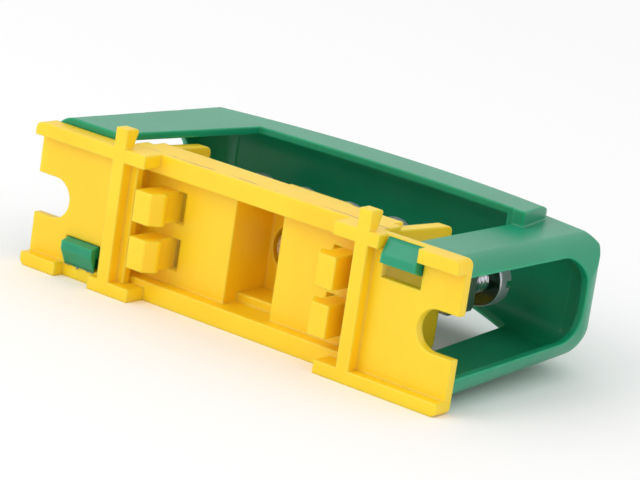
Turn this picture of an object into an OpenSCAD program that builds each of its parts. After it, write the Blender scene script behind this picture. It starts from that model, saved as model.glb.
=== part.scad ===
// Protective-earth terminal block for a 35 mm top-hat rail, lying on one long side.
// X runs along the block, Y from the rail side to the cover, Z across its width.
// The rail-side face of the base is at the least Y, and its lower long edge lies on Z = 0.

/* [Base] */
// Length of the base over both ears
base_len = 90; // [84:1:110]
// Width of the base across the rail
base_high = 25.6; // [24:0.1:32]
// Set-back of the ear plates behind the front face
ear_set = 2.2; // [1.6:0.1:3]
// Thickness of the ear plates
ear_t = 1.6; // [1.2:0.1:2.4]
// Height of the edge bars along the ears
edge_h = 2.3; // [1.6:0.1:2.6]
// Radius of the round corners of the ears
ear_r = 1.2; // [0.4:0.1:2]
// Width of the open screw notch in each ear
notch_w = 7.2; // [5:0.1:9]
// Depth of the screw notch from the end of the ear
notch_deep = 7.6; // [6:0.1:9]
// Set-back of the rail seat behind the front face
seat_set = 4.2; // [3.4:0.1:5]
// Thickness of the long side walls
side_t = 3.4; // [2.6:0.1:4]
// Depth of the long side walls behind the rail seat
side_deep = 6.9; // [5:0.1:8]
// Set-back of the channel floor behind the front face
floor_set = 6.9; // [6.4:0.1:8]
// Thickness of the channel floor
floor_t = 1.6; // [1.2:0.1:2.4]
// Distance from the middle to the inner face of each cross rib
rib_in = 24.7; // [24:0.1:28]
// Thickness of the cross ribs
rib_t = 2.5; // [1.8:0.1:3]
// Height of the tabs above the base
tab_up = 3.4; // [2:0.1:4]
// Depth of the tabs
tab_deep = 2.9; // [2.4:0.1:4]
// Radius of the tabs' rear corner
tab_r = 0.6; // [0.3:0.1:1]
// Amount that the rear foot of the tabs is cut back
tab_cut = 1; // [0.4:0.1:1.4]
// Length of the stub that runs in from each rib
stub_len = 4.5; // [3:0.1:5]
// Thickness of the end walls that carry the bar
fin_t = 2.2; // [1.6:0.1:2.5]
// Distance from the front face to the bar
bar_set = 23.2; // [22:0.1:26]
// Amount that the end walls stand in from the long edges at their foot
fin_foot = 0.3; // [0.2:0.1:1]
// Amount that the end walls stand in from the upper long edge at the bar
fin_in = 1.5; // [1:0.1:2.4]
// Corner radius of the end walls
fin_r = 1.2; // [0.6:0.1:2]

/* [Rail hooks] */
// Width of the rail that the block snaps on
rail_w = 35; // [33:0.5:36]
// Thickness of the rail's lips
rail_lip = 1; // [0.8:0.1:1.5]
// Play of the rail between the hooks and under their noses
rail_play = 0.15; // [0.05:0.05:0.3]
// Overhang of each hook nose
nose_over = 0.9; // [0.5:0.1:1.2]
// Thickness of each hook nose
nose_t = 0.8; // [0.5:0.1:1.4]
// Set-in of the lead-in slope from the rail side of the hooks
lead_in = 0.3; // [0:0.1:1]
// Thickness of the hooks along the block
hook_t = 3.8; // [2.6:0.1:4.4]
// Width of one hook
hook_w = 5.5; // [4:0.1:6.5]
// Gap between the two hooks of a pair
hook_gap = 2.6; // [1.6:0.1:3.6]
// Set-back of the hooks behind the front face
hook_set = 0.2; // [0:0.1:0.8]
// Extra length of the opening in front of each nose
nose_room = 0.8; // [0.3:0.1:1.5]

/* [Middle pocket] */
// Width of the pocket along the block
pocket_w = 10.1; // [9:0.1:13]
// Set-back of the pocket floor behind the front face
pocket_set = 17.6; // [15:0.1:19]
// Overlap of the tower's wall and the side walls inside the pocket
ledge = 0.6; // [0.4:0.1:2]
// Wall of the tower around the pocket
tower_t = 1.6; // [1.2:0.1:2.4]
// Diameter of the counterbore for the fixing screw
sink_d = 9; // [8.4:0.1:9.6]
// Depth of the counterbore
sink_deep = 2.2; // [1.2:0.1:2.6]

/* [Terminal bar] */
// Length of the bar
bar_len = 57; // [54:0.5:62]
// Depth of the bar along the screws
bar_deep = 8; // [7:0.1:10]
// Width of the bar along the wire holes
bar_w = 8; // [7:0.1:10]
// Chamfer on the long edges of the bar
bar_cut = 0.6; // [0.3:0.1:1]
// Distance between clamping points
pitch = 10; // [9.6:0.1:10.4]
// Diameter of the wire holes
wire_d = 5; // [4.2:0.1:5.4]
// Material under the wire holes
wire_under = 0.9; // [0.6:0.1:1.4]

/* [Screws] */
// Thread diameter of the clamping screws
screw_d = 4.9; // [4:0.1:5]
// Length of the clamping screws under the head
screw_len = 7; // [6.4:0.1:7.9]
// Height of the opened clamping screws over the wire holes
screw_clear = 0.3; // [0.1:0.1:0.8]
// Length of the conical tip of the clamping screws
tip_len = 1.5; // [1.3:0.1:2]
// Diameter of the flat end of that tip
tip_d = 2.6; // [1.6:0.1:3]
// Head diameter of the clamping screws
head_d = 9.4; // [8:0.1:9.5]
// Head height of the clamping screws
head_h = 3.2; // [2.4:0.1:4]
// Thread diameter of the fixing screw
fix_d = 3.9; // [3:0.1:4]
// Reach of the fixing screw into the bar
fix_reach = 4; // [3:0.1:5]
// Head diameter of the fixing screw
fix_head_d = 7.6; // [6.8:0.1:7.8]
// Head height of the fixing screw
fix_head_h = 2.6; // [2:0.1:3]
// Radial clearance of a screw in its hole
screw_gap = 0.05; // [0.02:0.01:0.1]
// Width of the screwdriver slots
slot_w = 1.2; // [0.8:0.1:1.6]
// Depth of the screwdriver slots
slot_deep = 1.5; // [1:0.1:1.8]

/* [Cover] */
// Length of the cover over its end walls
cover_len = 88.8; // [86:0.2:89.6]
// Width of the cover across the rail
cover_high = 25.8; // [25.4:0.1:28]
// Height of the cover's lower side over the base's lower edge
cover_low = 1.05; // [0.8:0.05:1.2]
// Distance from the front face to the crown of the cover
crown = 51.9; // [50:0.1:60]
// Radius of the arch along the cover
arch_r = 167; // [140:1:300]
// Radius of the edges round the crown
crown_r = 7.2; // [5:0.1:8]
// Draft of the cover's upper side, in degrees
draft_up = 0.7; // [0.3:0.1:1.2]
// Draft of the cover's lower side, in degrees
draft_low = 1.9; // [1:0.1:2.4]
// Radius of the upright corners at their foot, from which they widen to the crown's edges
corner_r = 4.5; // [3:0.1:4.8]
// Wall thickness of the cover
cover_t = 1.3; // [1:0.1:1.8]
// Distance from the front face to the edge of the upper rim, in the middle
rim_y = 37.75; // [34:0.05:42]
// Radius of the arched edge of the upper rim
rim_r = 300; // [200:10:600]
// Depth of the lower rim under the crown, in the middle
lip_deep = 1.3; // [1.3:0.1:6]
// Radius of the lower rim's arched edge
lip_r = 64; // [60:1:160]
// Distance from the middle to the step at the end of the rim
step_x = 32.5; // [31.8:0.1:34]
// Lean of that step, in degrees
step_lean = 10; // [0:0.5:12]
// Radius of the rim's end, between the step and the crown
rim_end_r = 8; // [3:0.1:9]
// Amount that the hook flanges stand in from the rim
flange_in = 3.1; // [2.4:0.1:3.4]
// Distance from the middle to the flush flange at its foot
flush_x = 29.5; // [29:0.1:30.5]
// Lean of the inner edge of the flush flange, in degrees
flush_lean = 7.3; // [3:0.1:8]
// Lean of the lower flush flange's inner edge, in degrees
lower_lean = 3.9; // [3:0.1:8]
// Radius of the upright corners of the hook flanges
flange_r = 7; // [5:0.1:7.4]
// Distance from the middle to the hook flange
flange_x = 30.2; // [29.5:0.1:31]
// Distance from the end windows to the crown at its ends
window_down = 5.8; // [5:0.1:9]
// Width of the wall between an end window and the flush side, at the foot
window_low = 4.4; // [3.6:0.05:6]
// Width of the end windows at the foot
window_w = 16; // [13:0.1:17]
// Corner radius of the end windows
window_r = 5.5; // [3:0.1:6]
// Lean of the end windows' edge along the flush side, in degrees
window_lean = 2.6; // [0:0.1:4]

/* [Snap hooks] */
// Distance from the middle of the block to the snap hooks
snap_x = 33.1; // [32.8:0.1:34]
// Width of a snap hook
snap_w = 6.9; // [5:0.1:7.4]
// Distance from the middle of the width to a snap hook
snap_z = 7.95; // [7.6:0.05:8.2]
// Height of the snap hooks' middle over the middle of the base
snap_lift = 1.05; // [0.3:0.05:1.05]
// Thickness of a snap hook
snap_t = 2.2; // [1.6:0.1:2.4]
// Overhang of the barb
barb_out = 2.5; // [2.3:0.1:2.6]
// Length of the barb in front of the ear
barb_len = 1.5; // [1:0.1:1.5]
// Bevel on the end of the snap hooks
snap_cut = 0.5; // [0.2:0.1:0.8]
// Clearance between the snap hooks and the ears
snap_gap = 0.15; // [0.1:0.05:0.3]
// Play of the snap hooks in their slots, along the block
snap_side = 0.45; // [0.2:0.05:0.6]
// Clearance between the end walls and the cover's lower flange
fin_gap = 0.4; // [0.3:0.05:0.8]

/* [Hidden] */
$fn = 64;
ways = 6;
half = base_len / 2;
mid = base_high / 2;
rib_out = rib_in + rib_t;
ear_back = ear_set + ear_t;
side_back = seat_set + side_deep;
floor_back = floor_set + floor_t;
stub_in = rib_in - stub_len;
stem_in = rail_w / 2 + rail_play;
stem_out = stem_in + hook_t;
nose_in = rail_w / 2 - nose_over;
nose_back = seat_set - rail_lip - rail_play;
tower_x = pocket_w / 2 + tower_t;
hook_rows = [mid + hook_gap / 2, mid - hook_gap / 2 - hook_w];
sink_floor = pocket_set + sink_deep;
bar_top = bar_set + bar_deep;
wire_y = bar_set + wire_under + wire_d / 2;
tip_y = wire_y + wire_d / 2 + screw_clear;
head_y = tip_y + screw_len;
cover_top = cover_low + cover_high;
cover_mid = cover_low + cover_high / 2;
snap_mid = mid + snap_lift;
fin_low = cover_low + cover_t + fin_gap;
leg_y = ear_back + snap_gap;
xe = cover_len / 2;
arch_y = crown - arch_r;
edge_r = arch_r - crown_r;
edge_x = xe - crown_r;
edge_y = arch_y + sqrt(edge_r * edge_r - edge_x * edge_x);
grow = (crown_r - corner_r) / (edge_y - leg_y);
// Straight pieces of each rounded window corner
window_steps = 8;
// Amount that the round tools stand past the walls, so that they cross them
past = 0.08;
// Distance from a drafted side's foot to that side, set in by t, at the depth y
function side_in(draft, y, t) = (y - leg_y) * tan(draft) + t / cos(draft);
// Distance from a drafted side's foot to the middle of its crown edge
function edge_in(draft) = side_in(draft, edge_y, crown_r) - past;
slot_x0 = snap_x - snap_w / 2 - snap_side;
slot_x1 = snap_x + snap_w / 2 + snap_side;
slot_h = snap_t + 2 * (snap_lift + snap_gap);
// Depth of the arch's surface, set in by t, at a distance x from the middle
function arch_at(x, t = 0) = arch_y + sqrt(pow(arch_r - t, 2) - x * x);
// Depth of the upper rim's edge at a distance x from the middle
function rim_at(x) = rim_y - rim_r + sqrt(rim_r * rim_r - x * x);
step_y = rim_at(step_x);
window_end = arch_at(xe) - window_down;

// Moves the drawing so that the middle of the block's box is over the origin
module seated() translate([0, -crown / 2, 0]) children();
// An outline in X and Z, drawn out along Y
module along_y(y0, y1) translate([0, y1, 0]) rotate([90, 0, 0]) linear_extrude(y1 - y0) children();
// An outline in Y and Z, drawn out along X
module along_x(x0, x1) translate([x0, 0, 0]) rotate([90, 0, 90]) linear_extrude(x1 - x0) children();
// A box between two corners
module box(a, b) translate(a) cube(b - a);
// The same shape twice, the second after a half turn about the middle of a width
module half_turn(z) {
    children();
    translate([0, 0, z]) rotate([0, 180, 0]) translate([0, 0, -z]) children();
}
// The same shape on both ends
module both_ends() {
    children();
    mirror([1, 0, 0]) children();
}
// The same shape on both long sides of the base
module both_sides() {
    children();
    translate([0, 0, base_high]) mirror([0, 0, 1]) children();
}
// A rectangle with its four corners rounded
module round_box(x0, x1, z0, z1, r) {
    translate([x0 + r, z0]) square([x1 - x0 - 2 * r, z1 - z0]);
    translate([x0, z0 + r]) square([x1 - x0, z1 - z0 - 2 * r]);
    for (x = [x0 + r, x1 - r], z = [z0 + r, z1 - r]) translate([x, z]) circle(r);
}

// One rail hook: a stout stem with a lead-in slope and a nose under the rail's lip
module rail_hook() linear_extrude(hook_w)
    polygon([[stem_in, floor_set + floor_t / 2], [stem_in, nose_back], [nose_in, nose_back],
        [nose_in, nose_back - nose_t], [stem_in + lead_in, hook_set], [stem_out, hook_set],
        [stem_out, floor_set + floor_t / 2]]);
// The opening in the floor that frees the underside of a hook nose
module nose_hole() translate([nose_in - nose_room, floor_set - 1, 0])
    cube([stem_in - nose_in + nose_room, floor_t + 2, hook_w]);
// A tab on top of a rib, with its rear foot cut back and its rear corner rounded
module tab() along_x(rib_in, rib_out) {
    foot = tab_deep - tab_cut;
    top = base_high + tab_up;
    polygon([[0, base_high - 1], [0, top], [tab_deep - tab_r, top], [tab_deep, top - tab_r],
        [foot, base_high], [foot, base_high - 1]]);
    translate([tab_deep - tab_r, top - tab_r]) circle(tab_r);
}
module ear() {
    along_y(ear_set, ear_back) difference() {
        round_box(rib_out - 4, half, 0, base_high, ear_r);
        translate([half - notch_deep + notch_w / 2, mid]) circle(d = notch_w);
        translate([half - notch_deep + notch_w / 2, mid - notch_w / 2]) square([notch_deep, notch_w]);
    }
    both_sides() along_y(0, ear_set + ear_t / 2) intersection() {
        round_box(rib_out - 4, half, 0, base_high, ear_r);
        translate([rib_out - 4, 0]) square([half, edge_h]);
    }
}
// End wall seen along the block: narrower towards the bar, with rounded far corners
module fin() along_x(rib_out - fin_t, rib_out) {
    top = base_high - fin_in;
    polygon([[ear_set, fin_foot], [ear_set, base_high - fin_foot], [bar_set - fin_r, top],
        [bar_set, top - fin_r], [bar_set, fin_low + fin_r], [bar_set - fin_r, fin_low]]);
    for (z = [fin_low + fin_r, top - fin_r]) translate([bar_set - fin_r, z]) circle(fin_r);
}
module base() color("#FFD93B") seated() difference() {
    union() {
        both_ends() {
            ear();
            fin();
            tab();
            box([rib_in, 0, 0], [rib_out, floor_back, base_high]);
            both_sides() box([stub_in, 0, 0], [rib_in + rib_t / 2, seat_set + 1, edge_h]);
            for (z = hook_rows) translate([0, 0, z]) rail_hook();
        }
        both_sides() box([-rib_in - 1, seat_set, 0], [rib_in + 1, side_back, side_t]);
        box([-rib_in - 1, floor_set, side_t - 1], [rib_in + 1, floor_back, base_high - side_t + 1]);
        box([-tower_x, floor_set, side_t], [tower_x, bar_set, base_high - side_t]);
    }
    both_ends() for (z = hook_rows) translate([0, 0, z]) nose_hole();
    half_turn(mid) {
        box([slot_x0, -1, mid + snap_z - slot_h / 2], [slot_x1, ear_back + 1, mid + snap_z + slot_h / 2]);
        box([slot_x0, -1, base_high - edge_h - 0.5], [slot_x1, ear_set, base_high + 1]);
    }
    box([-pocket_w / 2, floor_set - 1, side_t], [pocket_w / 2, side_back - ledge, base_high - side_t]);
    box([-pocket_w / 2, floor_set, side_t + tower_t],
        [pocket_w / 2, pocket_set, base_high - side_t - tower_t]);
    translate([0, 0, mid]) rotate([-90, 0, 0]) {
        translate([0, 0, pocket_set - 1]) cylinder(d = sink_d, h = sink_deep + 1);
        translate([0, 0, pocket_set]) cylinder(d = fix_d + 2 * screw_gap, h = bar_set);
    }
}

// Slab between the two drafted sides, set in by t
module slab(t) along_x(-xe - 1, xe + 1) {
    y0 = leg_y - 2;
    y1 = crown + 2;
    polygon([[y0, cover_low + side_in(draft_low, y0, t)], [y1, cover_low + side_in(draft_low, y1, t)],
        [y1, cover_top - side_in(draft_up, y1, t)], [y0, cover_top - side_in(draft_up, y0, t)]]);
}
// Arched ring with rounded outer edges that run into the slab's sides, set in by t
module ring(t) translate([0, arch_y, 0]) rotate_extrude($fn = 360) {
    r = crown_r - t;
    low = cover_low + edge_in(draft_low);
    high = cover_top - edge_in(draft_up);
    translate([edge_r - 80, low - r - 3]) square([80, high - low + 2 * r + 6]);
    translate([edge_r - 1, low]) square([r + 1, high - low]);
    for (z = [low, high]) translate([edge_r, z]) circle(r);
}
// Side outline of the hood from the depth y up, set in by t: upright ends that turn into the arch
module hood_side(t, y) {
    translate([-edge_x, y]) square([2 * edge_x, crown - y]);
    translate([-xe + t, y]) square([2 * (xe - t), edge_y - y]);
    for (s = [-1, 1]) translate([s * edge_x, edge_y]) circle(crown_r - t);
}
// The same shape on the other long side of the cover
module flip() translate([0, 0, 2 * cover_mid]) mirror([0, 0, 1]) children();
// What rounds an upright corner: all outside a leaning cone that meets both walls and widens upwards
module corner_cut(t, draft) {
    far = (crown_r - t) / grow;
    y = edge_y - far;
    lean = asin(grow / sqrt(1 + 2 * grow * grow));
    long = far + crown;
    translate([xe - t, y, cover_top - side_in(draft, y, t)])
        rotate([-draft, 0, 0]) rotate([0, -45, 0]) difference() {
        rotate([0, 0, atan(grow / sqrt(2))]) translate([0, far / 4, -20]) cube([20, long, 40]);
        rotate([0, 0, atan(grow * sqrt(2))]) rotate([-90, 0, 0])
            cylinder(r1 = past, r2 = past + long * tan(lean), h = long);
    }
}
// What rounds the end of a crown edge: all outside a ball
module crown_cut(t, draft) {
    z = cover_top - edge_in(draft);
    difference() {
        box([edge_x, edge_y, z], [xe + 1, crown + 1, cover_top + 1]);
        translate([edge_x, edge_y, z]) sphere(crown_r - t + past);
    }
}
// Middle of the rim's rounded end, which meets both the leaning step and the arch
function rim_end() =
    let (s = tan(step_lean), a = step_x - rim_end_r / cos(step_lean), d = step_y - arch_y,
        b = d - a * s, c = a * a + d * d - pow(arch_r - rim_end_r, 2),
        up = (sqrt(b * b - (1 + s * s) * c) - b) / (1 + s * s))
    [a - s * up, step_y + up];
// What the leaning step leaves out beside the rim and under its end, over the hook flange
module step_cut(t, y) {
    low = cover_top - flange_in - t;
    x = step_x - t;
    translate([0, 0, low]) linear_extrude(flange_in + t + 1)
        polygon([[x, y - 1], [x, step_y], [x - (crown + 1 - step_y) * tan(step_lean), crown + 1],
            [xe + 1, crown + 1], [xe + 1, y - 1]]);
    box([flange_x - t, y - 1, low], [step_x + 1, step_y + t, cover_top + 1]);
    translate([0, 0, low]) linear_extrude(flange_in + t + 1) translate(rim_end()) difference() {
        polygon([[0, 0], [2 * rim_end_r, 2 * rim_end_r * tan(step_lean)], [2 * rim_end_r, 2 * rim_end_r],
            2 * rim_end_r * (rim_end() - [0, arch_y]) / (arch_r - rim_end_r)]);
        circle(rim_end_r - t + past);
    }
    difference() {
        box([xe - flange_r, y - 1, low + t - flange_r], [xe + 1, crown + 1, low + 1]);
        translate([xe - flange_r, y - 2, low + t - flange_r]) rotate([-90, 0, 0])
            cylinder(r = flange_r - t + past, h = crown);
    }
}
// The hood as a solid body from the depth y up, set in by t
module hood(t, y) difference() {
    intersection() {
        ring(t);
        slab(t);
        linear_extrude(cover_top + 1) hood_side(t, y);
    }
    mirror([1, 0, 0]) {
        corner_cut(t, draft_up);
        crown_cut(t, draft_up);
    }
    flip() {
        corner_cut(t, draft_low);
        crown_cut(t, draft_low);
    }
    half_turn(cover_mid) step_cut(t, y);
}
// Distance from the middle to a flush flange's inner edge at the depth y
function flush_at(y, lean) = flush_x - (y - leg_y) * tan(lean);
// Opening of the upper long side: below the arched edge of the rim
module upper_gap() intersection() {
    y = leg_y - 1;
    translate([0, 0, cover_mid]) linear_extrude(cover_mid)
        polygon([[-flush_at(y, flush_lean), y], [-flush_at(crown, flush_lean), crown], [flange_x, crown],
            [flange_x, y]]);
    translate([0, rim_y - rim_r, 0]) cylinder(r = rim_r, h = cover_top + 9, $fn = 720);
}
// Opening of the lower long side: up to the arched lip under the crown
module lower_gap() intersection() {
    y = leg_y - 1;
    step = step_x + 0.3;
    translate([0, 0, -1]) linear_extrude(cover_mid + 1)
        polygon([[flush_at(y, lower_lean), y], [flush_at(crown, lower_lean), crown],
            [-step + (crown - step_y) * tan(step_lean), crown], [-step, step_y], [-flange_x, step_y],
            [-flange_x, y]]);
    translate([0, crown - lip_deep - lip_r, -2]) cylinder(r = lip_r, h = cover_top + 9, $fn = 720);
}
// Point at an angle on a circle about (y, z)
function arc_point(y, z, r, angle) = [y + r * cos(angle), z + r * sin(angle)];
// Window of one end wall, open towards the base, with rounded corners under the crown
module window() along_x(xe - crown_r - 1, xe + 1) {
    r = window_r;
    y = leg_y - 1;
    low = cover_low + window_low;
    high = low + window_w;
    turn = 90 - window_lean;
    mid_low = low + (window_end - r + r * cos(turn) - leg_y) * tan(window_lean) + r * sin(turn);
    polygon(concat([[y, low - tan(window_lean)]],
        [for (k = [0 : window_steps]) arc_point(window_end - r, mid_low, r, -turn * (1 - k / window_steps))],
        [for (k = [0 : window_steps]) arc_point(window_end - r, high - r, r, 90 * k / window_steps)],
        [[y, high]]));
}
// Snap hook: a tongue through the ear with a bevelled barb in front of it
module snap() along_x(snap_x - snap_w / 2, snap_x + snap_w / 2) translate([0, snap_mid + snap_z]) {
    y = ear_set - snap_gap;
    r = snap_t / 2;
    polygon([[y - barb_len, -r + snap_cut], [y - barb_len, r - snap_cut / 2], [y, r + barb_out], [y, r],
        [leg_y + 6, r], [leg_y + 6, -r], [y, -r]]);
}
module cover() color("#2E9478") seated() union() {
    difference() {
        hood(0, leg_y);
        hood(cover_t, leg_y - 1);
        half_turn(cover_mid) window();
        upper_gap();
        lower_gap();
    }
    half_turn(snap_mid) snap();
}

module terminal_bar() color("silver") seated() difference() {
    along_x(-bar_len / 2, bar_len / 2) translate([bar_set, mid - bar_w / 2])
        polygon([[bar_cut, 0], [bar_deep - bar_cut, 0], [bar_deep, bar_cut], [bar_deep, bar_w - bar_cut],
            [bar_deep - bar_cut, bar_w], [bar_cut, bar_w], [0, bar_w - bar_cut], [0, bar_cut]]);
    for (i = [0 : ways - 1]) translate([(i - (ways - 1) / 2) * pitch, 0, mid]) {
        translate([0, wire_y, -bar_w / 2 - 1]) cylinder(d = wire_d, h = bar_w + 2);
        translate([0, wire_y, 0]) rotate([-90, 0, 0]) cylinder(d = screw_d + 2 * screw_gap, h = bar_deep);
    }
    translate([0, bar_set - 1, mid]) rotate([-90, 0, 0]) cylinder(d = fix_d, h = fix_reach + 1.5);
}

// Fixing screw: a domed head with a cross recess, sunk in the pocket floor
module fixing_screw() color("silver") seated()
    translate([0, sink_floor, mid]) rotate([-90, 0, 0]) difference() {
    union() {
        cylinder(d = fix_d, h = bar_set - sink_floor + fix_reach);
        rotate_extrude() pan_profile(fix_head_d / 2, fix_head_h, 1);
    }
    for (a = [0, 90]) rotate([0, 0, a]) translate([-fix_head_d / 3, -slot_w / 2, -fix_head_h - 1])
        cube([fix_head_d / 1.5, slot_w, slot_deep + 1]);
}
// Half section of a domed head, drawn below its seat
module pan_profile(r, h, dome) {
    translate([0, -h]) square([r - dome, h]);
    translate([0, dome - h]) square([r, h - dome]);
    translate([r - dome, dome - h]) circle(dome);
}
// Clamping screw: a shank with a conical tip over the wire hole, up to a slotted head under the crown
module clamp_screw(i) color("silver") seated()
    translate([(i - (ways + 1) / 2) * pitch, head_y, mid]) rotate([90, 0, 0]) difference() {
    rotate_extrude() {
        pan_profile(head_d / 2, head_h, 1);
        polygon([[0, -1], [screw_d / 2, -1], [screw_d / 2, screw_len - tip_len], [tip_d / 2, screw_len],
            [0, screw_len]]);
    }
    translate([-head_d, -slot_w / 2, -head_h - 1]) cube([2 * head_d, slot_w, slot_deep + 1]);
}

base();
cover();
terminal_bar();
fixing_screw();
clamp_screw(1);  // clamp_screw_1
clamp_screw(2);  // clamp_screw_2
clamp_screw(3);  // clamp_screw_3
clamp_screw(4);  // clamp_screw_4
clamp_screw(5);  // clamp_screw_5
clamp_screw(6);  // clamp_screw_6
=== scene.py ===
import math
import bmesh
import bpy
import numpy as np
from mathutils import Matrix, Vector


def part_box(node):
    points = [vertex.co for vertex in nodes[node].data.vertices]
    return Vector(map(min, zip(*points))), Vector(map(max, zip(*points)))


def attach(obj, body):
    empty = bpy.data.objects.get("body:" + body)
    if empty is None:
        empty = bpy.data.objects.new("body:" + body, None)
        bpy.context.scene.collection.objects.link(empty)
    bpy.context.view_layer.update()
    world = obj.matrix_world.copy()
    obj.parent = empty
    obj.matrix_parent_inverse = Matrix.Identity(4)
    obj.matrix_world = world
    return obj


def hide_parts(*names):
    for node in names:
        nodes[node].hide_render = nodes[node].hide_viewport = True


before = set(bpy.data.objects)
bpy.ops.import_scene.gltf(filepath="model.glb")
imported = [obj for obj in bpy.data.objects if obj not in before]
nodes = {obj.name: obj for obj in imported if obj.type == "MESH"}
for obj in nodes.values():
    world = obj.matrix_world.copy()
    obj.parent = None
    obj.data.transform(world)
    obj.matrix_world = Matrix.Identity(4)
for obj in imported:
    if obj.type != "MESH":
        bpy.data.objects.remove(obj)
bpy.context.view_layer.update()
mm = 0.001
screwNames = sorted(name for name in nodes if name.startswith("clamp_screw_"))
print("frame loaded:", len(nodes), "nodes,", len(screwNames), "of them clamping screws")

noiseSpan = {"From Min": 0.3, "From Max": 0.7}  # nearly all of the noise lies in here
toneSpan = {"From Min": 0.35, "From Max": 0.65}  # a little narrower, for fuller tones
edgeSpan = {"From Min": 0.995, "From Max": 0.8}  # cosine between the flat and the softened normal


# sRGB hex to linear: a straight part near black, then a power of 2.4
def toLinear(hexText):
    part = np.array([int(hexText[i:i + 2], 16) for i in (1, 3, 5)]) / 255
    line = np.where(part <= 0.04045, part / 12.92, ((part + 0.055) / 1.055) ** 2.4)
    return (*line.tolist(), 1.0)


# adds one node, sets its properties and sockets by name or number, and links sources into it
def addNode(tree, kind, settings=(), links=()):
    made = tree.nodes.new("ShaderNode" + kind)
    for key, value in dict(settings).items():
        if isinstance(key, str) and hasattr(made, key):
            setattr(made, key, value)
        else:
            made.inputs[key].default_value = value
    for key, source in dict(links).items():
        tree.links.new(source, made.inputs[key])
    return made


# an empty material with its Principled shader and Object coordinates
def startMaterial(name, shaderValues):
    material = bpy.data.materials.new(name)
    material.use_nodes = True
    tree = material.node_tree
    tree.nodes.clear()
    shader = addNode(tree, "BsdfPrincipled", shaderValues)
    addNode(tree, "OutputMaterial", {}, {"Surface": shader.outputs["BSDF"]})
    place = addNode(tree, "TexCoord").outputs["Object"]
    return material, tree, shader, place


# the softened normal of a rounded edge, and a mask that is edgeShare on the edge and 0 on the flats
def softEdge(tree, look):
    soft = addNode(tree, "Bevel", {"samples": 8, "Radius": look["edgeMm"] * mm}).outputs["Normal"]
    flat = addNode(tree, "NewGeometry").outputs["Normal"]
    agree = addNode(tree, "VectorMath", {"operation": "DOT_PRODUCT"}, {0: soft, 1: flat})
    mask = addNode(tree, "MapRange", {**edgeSpan, "To Max": look["edgeShare"]},
                   {"Value": agree.outputs["Value"]})
    return soft, mask.outputs["Result"]


# two near tones of one colour, mixed by a pattern
def cloudyTone(tree, pattern, low, high):
    share = addNode(tree, "MapRange", toneSpan, {"Value": pattern})
    tone = addNode(tree, "Mix", {"data_type": "RGBA", 6: toLinear(low), 7: toLinear(high)},
                   {0: share.outputs["Result"]})
    return tone.outputs[2]


# roughness between smooth and rough, and a fine relief, both from one pattern; returns the roughness
def satinGrain(tree, shader, look, pattern, normal):
    dull = addNode(tree, "MapRange", {**noiseSpan, "To Min": look["smooth"], "To Max": look["rough"]},
                   {"Value": pattern})
    tree.links.new(dull.outputs["Result"], shader.inputs["Roughness"])
    bump = addNode(tree, "Bump", {"Strength": look["bump"], "Distance": look["bumpMm"] * mm},
                   {"Height": pattern, **normal})
    tree.links.new(bump.outputs["Normal"], shader.inputs["Normal"])
    return dull.outputs["Result"]


# puts a material in every slot of a CAD node
def dress(node, material):
    target = nodes[node]
    if not target.material_slots:
        target.data.materials.append(material)
    for slot in target.material_slots:
        slot.material = material


basePlastic = {
    "body": "#FFD51C", "cloud": "#FECF15", "edge": "#FFDF48", "speck": "#C8921A", "seam": "#A87C3C",
    "cloudMm": 14.0, "grainMm": 0.4, "edgeMm": 0.6, "edgeShare": 0.5,
    "speckMm": 1.9, "speckCore": 0.03, "speckRim": 0.08,  # cell size, and radii as shares of it
    "speckFew": 0.95, "speckMost": 0.98, "speckShare": 0.7,  # only the cells above speckFew have one
    "seamInMm": 5.3, "seamWideMm": 0.3, "seamCore": 0.3, "seamShare": 0.8,
    "seamWaveMm": 0.35, "driftMm": 9.0, "gapMm": 6.0, "gapFrom": 0.44, "gapTo": 0.56,
    "wallDownMm": 3.4, "topFromMm": 0.08, "topFullMm": 0.03,
    "smooth": 0.34, "rough": 0.48, "bump": 0.22, "bumpMm": 0.03,
}


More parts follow.
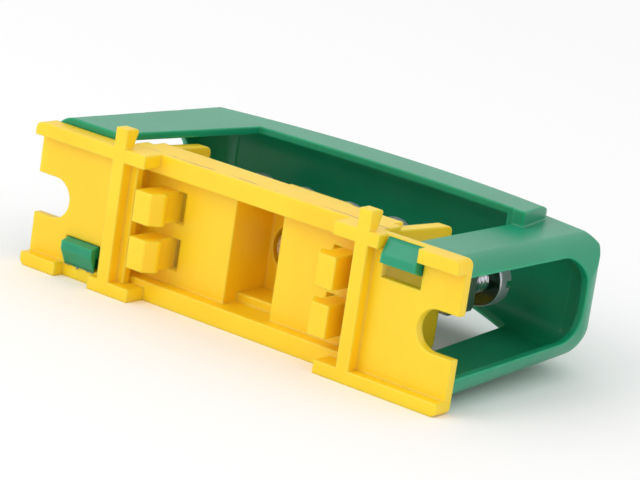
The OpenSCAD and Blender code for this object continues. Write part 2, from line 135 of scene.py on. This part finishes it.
# a broken thin line on the upper long wall, just behind its front edge: it keeps near one depth,
# wanders a little by noise, has gaps by another noise, and stays on the top face
def toolSeam(tree, place, look):
    low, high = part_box("base")
    seamY = low[1] + look["seamInMm"] * mm
    wallTop = high[2] - look["wallDownMm"] * mm
    wide = look["seamWideMm"] * mm
    wander = look["seamWaveMm"] * mm
    axis = addNode(tree, "SeparateXYZ", {}, {"Vector": place})
    drift = addNode(tree, "TexNoise", {"Scale": 1 / (look["driftMm"] * mm), "Detail": 2.0}, {"Vector": place})
    wave = addNode(tree, "MapRange", {**noiseSpan, "To Min": -wander, "To Max": wander},
                   {"Value": drift.outputs["Fac"]})
    line = addNode(tree, "Math", {"operation": "ADD"}, {0: axis.outputs["Y"], 1: wave.outputs["Result"]})
    away = addNode(tree, "Math", {"operation": "SUBTRACT", 1: seamY}, {0: line.outputs["Value"]})
    away = addNode(tree, "Math", {"operation": "ABSOLUTE"}, {0: away.outputs["Value"]})
    near = addNode(tree, "MapRange", {
        "From Min": look["seamCore"] * wide, "From Max": wide, "To Min": 1.0, "To Max": 0.0,
    }, {"Value": away.outputs["Value"]})
    onTop = addNode(tree, "MapRange", {
        "From Min": wallTop - look["topFromMm"] * mm, "From Max": wallTop - look["topFullMm"] * mm,
    }, {"Value": axis.outputs["Z"]})
    gaps = addNode(tree, "TexNoise", {"Scale": 1 / (look["gapMm"] * mm), "Detail": 3.0}, {"Vector": place})
    broken = addNode(tree, "MapRange", {
        "From Min": look["gapFrom"], "From Max": look["gapTo"], "To Max": look["seamShare"],
    }, {"Value": gaps.outputs["Fac"]})
    mask = addNode(tree, "Math", {"operation": "MULTIPLY"},
                   {0: near.outputs["Result"], 1: onTop.outputs["Result"]})
    mask = addNode(tree, "Math", {"operation": "MULTIPLY"},
                   {0: mask.outputs["Value"], 1: broken.outputs["Result"]})
    return mask.outputs["Value"]


# Polyamide 6.6 moulded in a spark-eroded tool: an even warm yellow with a satin skin, fine dull grain,
# edges paled by a painted highlight for the light that gets through them, a few burnt specks and a tool seam
# on the long wall.
# The grain is drawn coarser than real so that it shows
def mouldedPolyamide(look):
    material, tree, shader, place = startMaterial("moulded polyamide, yellow", {
        "IOR": 1.53, "Subsurface Weight": 0.4, "Subsurface Scale": 0.003,
        "Subsurface Radius": (1.0, 0.6, 0.12), "Specular IOR Level": 0.5,
    })
    soft, onEdge = softEdge(tree, look)
    cloud = addNode(tree, "TexNoise", {"Scale": 1 / (look["cloudMm"] * mm), "Detail": 2.0}, {"Vector": place})
    tone = cloudyTone(tree, cloud.outputs["Fac"], look["cloud"], look["body"])
    # painted highlight: the edges are mixed towards the paler edge colour, for light that gets through the
    # thin plastic
    tone = addNode(tree, "Mix", {"data_type": "RGBA", 7: toLinear(look["edge"])}, {0: onEdge, 6: tone})
    dots = addNode(tree, "TexVoronoi", {"Scale": 1 / (look["speckMm"] * mm)}, {"Vector": place})
    spot = addNode(tree, "MapRange", {
        "From Min": look["speckCore"], "From Max": look["speckRim"], "To Min": 1.0, "To Max": 0.0,
    }, {"Value": dots.outputs["Distance"]})
    pick = addNode(tree, "SeparateColor", {}, {"Color": dots.outputs["Color"]})
    few = addNode(tree, "MapRange", {
        "From Min": look["speckFew"], "From Max": look["speckMost"], "To Max": look["speckShare"],
    }, {"Value": pick.outputs["Red"]})
    speck = addNode(tree, "Math", {"operation": "MULTIPLY"},
                    {0: spot.outputs["Result"], 1: few.outputs["Result"]})
    tone = addNode(tree, "Mix", {"data_type": "RGBA", 7: toLinear(look["speck"])},
                   {0: speck.outputs["Value"], 6: tone.outputs[2]})
    tone = addNode(tree, "Mix", {"data_type": "RGBA", 7: toLinear(look["seam"])},
                   {0: toolSeam(tree, place, look), 6: tone.outputs[2]})
    tree.links.new(tone.outputs[2], shader.inputs["Base Color"])
    grain = addNode(tree, "TexNoise", {"Scale": 1 / (look["grainMm"] * mm), "Detail": 3.0}, {"Vector": place})
    satinGrain(tree, shader, look, grain.outputs["Fac"], {"Normal": soft})
    return material


coverPlastic = {
    "name": "moulded polycarbonate, green", "body": "#12966F", "cloud": "#0F8F68", "edge": "#20B27C",
    "cloudMm": 18.0, "grainMm": 0.45, "edgeMm": 0.6, "edgeShare": 0.7,
    "smooth": 0.3, "rough": 0.36, "bump": 0.04, "bumpMm": 0.03,
}


# Polycarbonate moulded in a finely blasted tool: a mid green that goes pale with sky at low angles,
# with edges painted a purer green, a painted glow for the light that runs through the thin wall.
# The grain is drawn coarser than real so that it shows
def mouldedPolycarbonate(look):
    material, tree, shader, place = startMaterial(look["name"], {
        "IOR": 1.58, "Subsurface Weight": 0.35, "Subsurface Scale": 0.003,
        "Subsurface Radius": (0.15, 1.0, 0.6), "Specular IOR Level": 0.34,
    })
    soft, onEdge = softEdge(tree, look)
    cloud = addNode(tree, "TexNoise", {"Scale": 1 / (look["cloudMm"] * mm), "Detail": 2.0}, {"Vector": place})
    tone = cloudyTone(tree, cloud.outputs["Fac"], look["cloud"], look["body"])
    # painted glow: the edges are mixed towards the purer edge colour, for light that runs through the thin
    # wall
    tone = addNode(tree, "Mix", {"data_type": "RGBA", 7: toLinear(look["edge"])}, {0: onEdge, 6: tone})
    tree.links.new(tone.outputs[2], shader.inputs["Base Color"])
    grain = addNode(tree, "TexNoise", {"Scale": 1 / (look["grainMm"] * mm), "Detail": 3.0}, {"Vector": place})
    satinGrain(tree, shader, look, grain.outputs["Fac"], {"Normal": soft})
    return material


barMetal = {
    "body": "#C6C5C1", "dull": "#B6B5B1", "lineMm": 0.35, "lineLong": 30.0,
    "smooth": 0.3, "rough": 0.42, "bump": 0.08, "bumpMm": 0.02,
}


# Drawn brass, tin plated: a pale grey metal with faint lines along the drawing direction,
# drawn coarser than real so that they show
def tinPlatedBar(look):
    material, tree, shader, place = startMaterial("drawn brass, tin plated", {"Metallic": 1.0})
    along = addNode(tree, "Mapping", {"Scale": (1 / look["lineLong"], 1.0, 1.0)}, {"Vector": place})
    lines = addNode(tree, "TexNoise", {"Scale": 1 / (look["lineMm"] * mm), "Detail": 4.0},
                    {"Vector": along.outputs["Vector"]})
    tone = cloudyTone(tree, lines.outputs["Fac"], look["dull"], look["body"])
    tree.links.new(tone, shader.inputs["Base Color"])
    satinGrain(tree, shader, look, lines.outputs["Fac"], {})
    return material


clampMetal = {
    "name": "headed steel, matt zinc plated", "body": "#EAEAF2", "dull": "#D6D6E0", "patchMm": 1.4,
    "edgeMm": 0.12, "edgeShare": 0.5, "metallic": 0.65, "smooth": 0.42, "rough": 0.58,
    "threadMetallic": 1.0, "threadRough": 0.2,
    # the dark green-grey here is painted shade on the face under the head
    "bearing": "#566B60", "bearingMm": 0.06, "headFullMm": 0.18,
    "bump": 0.1, "bumpMm": 0.02,
}
fixingMetal = {**clampMetal, "name": "headed steel, bright zinc plated", "smooth": 0.24, "rough": 0.36}


# Cold-headed steel, zinc plated and passivated: the head is pale and a little blue, with soft cloudy
# patches, and not wholly metallic, as the clear film scatters some of the light. Below headFrom (in Y)
# the thread was rolled, so it is burnished and shows sharp lights. A thin band at headFrom, the face under
# the head, is painted a dark green-grey as painted shade
def zincPlatedSteel(look, headFrom):
    material, tree, shader, place = startMaterial(look["name"], {})
    soft, onEdge = softEdge(tree, look)
    along = addNode(tree, "SeparateXYZ", {}, {"Vector": place}).outputs["Y"]
    patch = addNode(tree, "TexNoise", {"Scale": 1 / (look["patchMm"] * mm), "Detail": 5.0}, {"Vector": place})
    tone = cloudyTone(tree, patch.outputs["Fac"], look["dull"], look["body"])
    tone = addNode(tree, "Mix", {"data_type": "RGBA", 7: toLinear(look["body"])}, {0: onEdge, 6: tone})
    # painted shade: a thin dark band on the face under the head, at headFrom
    underHeadShade = addNode(tree, "Math", {"operation": "COMPARE", 1: headFrom, 2: look["bearingMm"] * mm},
                    {0: along})
    tone = addNode(tree, "Mix", {"data_type": "RGBA", 7: toLinear(look["bearing"])},
                   {0: underHeadShade.outputs["Value"], 6: tone.outputs[2]})
    tree.links.new(tone.outputs[2], shader.inputs["Base Color"])
    headSpan = {"From Min": headFrom + look["bearingMm"] * mm, "From Max": headFrom + look["headFullMm"] * mm}
    metal = addNode(tree, "MapRange", {
        **headSpan, "To Min": look["threadMetallic"], "To Max": look["metallic"],
    }, {"Value": along})
    tree.links.new(metal.outputs["Result"], shader.inputs["Metallic"])
    dull = satinGrain(tree, shader, look, patch.outputs["Fac"], {"Normal": soft})
    onHead = addNode(tree, "MapRange", headSpan, {"Value": along})
    shine = addNode(tree, "Mix", {"data_type": "FLOAT", 2: look["threadRough"]},
                    {0: onHead.outputs["Result"], 3: dull})
    tree.links.new(shine.outputs[0], shader.inputs["Roughness"])
    return material


yellow = mouldedPolyamide(basePlastic)
green = mouldedPolycarbonate(coverPlastic)
tin = tinPlatedBar(barMetal)
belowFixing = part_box("fixing_screw")[0][1] - mm  # under the whole screw, which has one finish all over
brightZinc = zincPlatedSteel(fixingMetal, belowFixing)
dress("base", yellow)
dress("cover", green)
dress("terminal_bar", tin)
dress("fixing_screw", brightZinc)
print("materials on the CAD nodes done")


# quads between the rows of a grid, closed into a tube if wrap is set; first is the grid's first point
def gridFaces(rows, columns, wrap, first=0):
    last = columns if wrap else columns - 1
    row, column = np.meshgrid(np.arange(rows - 1) * columns, np.arange(last), indexing="ij")
    beside = (column + 1) % columns
    below = row + columns
    quads = np.stack([row + column, row + beside, below + beside, below + column], -1)
    return first + quads.reshape(-1, 4)


weldMm = 0.002  # points nearer than this become one
sliverMm = 0.0005  # edges shorter than this go


# puts welded points and faces into a mesh object at the origin, smooth but for edges over sharpDegrees
def makePiece(name, points, faces, material, sharpDegrees):
    mesh = bpy.data.meshes.new(name)
    mesh.from_pydata((points * mm).tolist(), [], faces.tolist())
    work = bmesh.new()
    work.from_mesh(mesh)
    bmesh.ops.remove_doubles(work, verts=work.verts, dist=weldMm * mm)
    bmesh.ops.dissolve_degenerate(work, edges=work.edges, dist=sliverMm * mm)
    bmesh.ops.recalc_face_normals(work, faces=work.faces)
    work.to_mesh(mesh)
    work.free()
    mesh.shade_smooth()
    mesh.set_sharp_from_angle(angle=math.radians(sharpDegrees))
    mesh.materials.append(material)
    piece = bpy.data.objects.new(name, mesh)
    bpy.context.scene.collection.objects.link(piece)
    return piece


clampScrew = {
    "domeMm": 0.3, "headMm": 3.2, "widerMm": 0.2, "slotWideMm": 1.2, "slotDeepMm": 1.5, "rimMm": 0.25,
    "shankMm": 2.45, "threadMm": 0.65, "pitchMm": 1.0, "rootShare": 0.12, "flankShare": 0.76,
    "runOutMm": 0.5, "leadInMm": 0.3, "leadInFrom": 0.4, "tipLongMm": 1.5, "tipMm": 1.3,
    "rowsOutside": 14, "columnsTop": 25, "rowsPerTurn": 12, "sharpDegrees": 40,
}


# Top of a slotted head over (row, t): rows run across the slot, t from side to side. The height is the
# head's top, less a quarter round near the rim, and inside the slot it is the slot's floor
def headTop(look, radius, top):
    slot = look["slotWideMm"] / 2
    dome = look["domeMm"]
    turn = np.linspace(0, math.acos(slot / radius), look["rowsOutside"])
    inside = np.array([-slot, 0.0, slot])
    z = np.concatenate([-radius * np.cos(turn), inside, radius * np.cos(turn[::-1])])[:, None]
    inSlot = np.zeros(z.shape, bool)
    inSlot[len(turn):len(turn) + len(inside)] = True
    t = np.sin(np.linspace(-np.pi / 2, np.pi / 2, look["columnsTop"]))[None, :]
    x = t * np.sqrt(np.maximum(radius ** 2 - z ** 2, 0))
    past = np.clip(np.hypot(x, z) - (radius - dome), 0, dome)
    drop = dome - np.sqrt(dome ** 2 - past ** 2)
    y = np.where(inSlot, top - look["slotDeepMm"], top - drop)
    return np.stack([x, y, z + 0 * x], -1)


# Depth of the thread at a height and an angle: a saw wave of height over pitch plus a turn of the angle,
# clipped to flat crests and roots, and faded out under the head and at the tip.
# Pitch and depth are larger than real so that the thread shows
def threadDepth(look, y, angle, start, end):
    wave = np.abs(2 * ((y / look["pitchMm"] + angle / (2 * np.pi)) % 1) - 1)
    runOut = np.clip((start - y) / look["runOutMm"], 0, 1)
    leadIn = np.clip((y - end) / look["leadInMm"] + look["leadInFrom"], 0, 1)
    return look["threadMm"] * np.clip((wave - look["rootShare"]) / look["flankShare"], 0, 1) * runOut * leadIn


# The rim of the head's top is carried down the axis as loops, each a height and a radius at every angle:
# head wall, underside, threaded shank, cone and point
def slottedScrew(node, look, material):
    low, high = (np.array(corner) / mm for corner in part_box(node))
    radius = (high[0] - low[0]) / 2 + look["widerMm"]
    long = high[1] - low[1]
    under = long - look["headMm"]
    head = headTop(look, radius, long)
    rim = np.concatenate([head[:, -1], head[::-1, 0]])
    angle = np.arctan2(rim[:, 2], rim[:, 0])
    turns = (under - look["tipLongMm"]) / look["pitchMm"]
    shankY = np.linspace(under, look["tipLongMm"], int(turns * look["rowsPerTurn"]))[:, None]
    shank = look["shankMm"] - threadDepth(look, shankY, angle, under, look["tipLongMm"])
    wall = np.array([
        (long - look["slotDeepMm"], radius),
        (under + look["rimMm"], radius),
        (under, radius - look["rimMm"]),
        (under, look["shankMm"]),
    ])
    end = np.array([(0.0, look["tipMm"]), (0.0, 0.0)])
    around = np.ones(len(angle))
    y = np.concatenate([wall[:, :1], shankY, end[:, :1]]) * around
    r = np.concatenate([wall[:, 1:] * around, shank, end[:, 1:] * around])
    loops = np.concatenate([rim[None], np.stack([r * np.cos(angle), y, r * np.sin(angle)], -1)])
    points = np.concatenate([head.reshape(-1, 3), loops.reshape(-1, 3)])
    points += np.array([(low[0] + high[0]) / 2, low[1], (low[2] + high[2]) / 2])
    rows, columns = head.shape[:2]
    headFaces = gridFaces(rows, columns, False)
    loopFaces = gridFaces(*loops.shape[:2], True, rows * columns)
    faces = np.concatenate([headFaces, loopFaces])
    return makePiece("slotted_" + node, points, faces, material, look["sharpDegrees"])


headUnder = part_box(screwNames[0])[1][1] - clampScrew["headMm"] * mm
mattZinc = zincPlatedSteel(clampMetal, headUnder)
for node in screwNames:
    screw = slottedScrew(node, clampScrew, mattZinc)
    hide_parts(node)
    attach(screw, node.replace("clamp_", ""))
print("threaded screws made:", len(screwNames))


# closes loops of points, one for each station, into a solid strip: quads between them, a face on each end
def closedStrip(name, loops, material, sharpDegrees):
    rows, columns = loops.shape[:2]
    ends = np.stack([np.arange(columns), rows * columns - 1 - np.arange(columns)])
    faces = np.concatenate([gridFaces(rows, columns, True), ends])
    return makePiece(name, loops.reshape(-1, 3), faces, material, sharpDegrees)


flashPlastic = {
    **coverPlastic, "name": "moulded polycarbonate, thin flash",
    "body": "#86D3B0", "cloud": "#6FC6A0", "edge": "#A6E2C6", "cloudMm": 1.5,
}
flash = {
    "x0Mm": -36.7, "x1Mm": -29.8, "yMm": -23.93, "zMm": 2.42, "thickMm": 0.07, "hangMm": 0.42, "steps": 90,
    "mean": 0.45, "waves": ((0.22, 17, 0.0), (0.16, 41, 1.0), (0.1, 97, 2.0)),  # height, speed, start
    "spikes": ((0.75, 0.44, 0.025), (0.5, 0.96, 0.03)),  # height, place, width
    "least": 0.08, "most": 1.4, "endShare": 0.02, "endLeast": 0.05, "lean": 0.12,
    "down": (0.0, 0.5, 1.0, 0.5), "out": (1.0, 0.9, 0.0, -0.5), "sharpDegrees": 60,
}


# Thin ragged skin under the left snap hook: a flat lens-shaped profile carried along the hook's edge. Its
# depth is a sum of sines of the distance along the edge plus bell-shaped spikes, drawn in at both ends
def mouldFlash(look):
    s = np.linspace(0, 1, look["steps"])
    tall, speed, start = np.array(look["waves"]).T[:, :, None]
    ragged = look["mean"] + (tall * np.sin(speed * s + start)).sum(0)
    tall, middle, wide = np.array(look["spikes"]).T[:, :, None]
    spikes = (tall * np.exp(-((s - middle) / wide) ** 2)).sum(0)
    ends = np.clip(np.minimum(s, 1 - s) / look["endShare"], look["endLeast"], 1)
    hang = look["hangMm"] * np.clip(ragged + spikes, look["least"], look["most"]) * ends
    down = hang[:, None] * np.array(look["down"])
    out = ends[:, None] * np.array(look["out"]) * look["thickMm"]
    x = (look["x0Mm"] + (look["x1Mm"] - look["x0Mm"]) * s)[:, None] + 0 * down
    y = look["yMm"] - out - look["lean"] * down
    z = look["zMm"] - down
    thinGreen = mouldedPolycarbonate(flashPlastic)
    return closedStrip("hook_flash", np.stack([x, y, z], -1), thinGreen, look["sharpDegrees"])


web = {"xMm": (-36.5, -29.3), "yMm": (-21.9, -20.6), "zMm": (2.1, 5.0), "sharpDegrees": 30}


# Web that closes the slot behind the left snap hook: a rectangle in y and z, carried along x
def hookWeb(look):
    y = np.array(look["yMm"])[[0, 1, 1, 0]]
    z = np.array(look["zMm"])[[0, 0, 1, 1]]
    x = np.array(look["xMm"])[:, None] + 0 * y
    loops = np.stack([x, y + 0 * x, z + 0 * x], -1)
    return closedStrip("hook_web", loops, green, look["sharpDegrees"])


for made in (mouldFlash(flash), hookWeb(web)):
    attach(made, "block")
print("mould flash and hook web made")

studio = {
    "floor": "#FDFDFD", "floorHalf": 3.0, "floorRough": 0.9, "floorGloss": 0.1,
    "sky": "#FFFFFF", "skyStrength": 0.92,
    "keyPlace": (-0.3, -0.65, 0.5), "keyAim": (0, 0, 0.012), "keyWatts": 1.6, "keySide": 0.5,
}


# a flat square under the block, level with its lowest edge
def paleFloor(look):
    side = np.array([-look["floorHalf"], look["floorHalf"]])
    x, y = np.meshgrid(side, side)
    points = np.stack([x, y, np.zeros_like(x)], -1).reshape(-1, 3)
    mesh = bpy.data.meshes.new("floor")
    mesh.from_pydata(points.tolist(), [], [(0, 1, 3, 2)])
    floor = bpy.data.objects.new("floor", mesh)
    bpy.context.scene.collection.objects.link(floor)
    material = startMaterial("matt paper sweep", {
        "Roughness": look["floorRough"], "Specular IOR Level": look["floorGloss"],
        "Base Color": toLinear(look["floor"]),
    })[0]
    mesh.materials.append(material)


# a soft square lamp that looks at the block
def softLamp(look):
    light = bpy.data.lights.new("key lamp", "AREA")
    light.energy = look["keyWatts"]
    light.size = look["keySide"]
    lamp = bpy.data.objects.new("key lamp", light)
    lamp.visible_camera = False
    lamp.location = look["keyPlace"]
    lamp.rotation_mode = "QUATERNION"
    lamp.rotation_quaternion = (Vector(look["keyAim"]) - Vector(look["keyPlace"])).to_track_quat("-Z", "Y")
    bpy.context.scene.collection.objects.link(lamp)


# an even white sky all round
def evenSky(look):
    world = bpy.data.worlds.new("studio sky")
    world.use_nodes = True
    sky = world.node_tree.nodes["Background"]
    sky.inputs["Color"].default_value = toLinear(look["sky"])
    sky.inputs["Strength"].default_value = look["skyStrength"]
    bpy.context.scene.world = world
    bpy.context.scene.view_settings.view_transform = "Standard"


paleFloor(studio)
softLamp(studio)
evenSky(studio)

camera = {
    "azimuth": 35.997, "elevation": 14.346, "roll": 8.653, "distanceMm": 506.08,
    "targetMm": (6.995, -10.95, 16.949),
    "focalPixels": 3049.2, "imageWide": 640, "sensorMm": 36.0, "nearM": 0.01, "farM": 20.0,
}


# turns about the block by azimuth, up by elevation, then rolls about the line of sight
def placeCamera(look):
    a, e, r = (math.radians(look[k]) for k in ("azimuth", "elevation", "roll"))
    back = np.array([math.sin(a) * math.cos(e), -math.cos(a) * math.cos(e), math.sin(e)])
    level = np.array([math.cos(a), math.sin(a), 0.0])
    upright = np.cross(back, level)
    right = math.cos(r) * level + math.sin(r) * upright
    up = math.cos(r) * upright - math.sin(r) * level
    spot = (np.array(look["targetMm"]) + back * look["distanceMm"]) * mm
    turn = np.eye(4)
    turn[:3] = np.stack([right, up, back, spot], -1)
    data = bpy.data.cameras.new("photo camera")
    data.sensor_width = look["sensorMm"]
    data.lens = look["focalPixels"] / look["imageWide"] * look["sensorMm"]
    data.clip_start = look["nearM"]
    data.clip_end = look["farM"]
    cam = bpy.data.objects.new("photo camera", data)
    cam.matrix_world = Matrix(turn.tolist())
    bpy.context.scene.collection.objects.link(cam)
    bpy.context.scene.camera = cam


placeCamera(camera)
print("floor, light and camera placed")
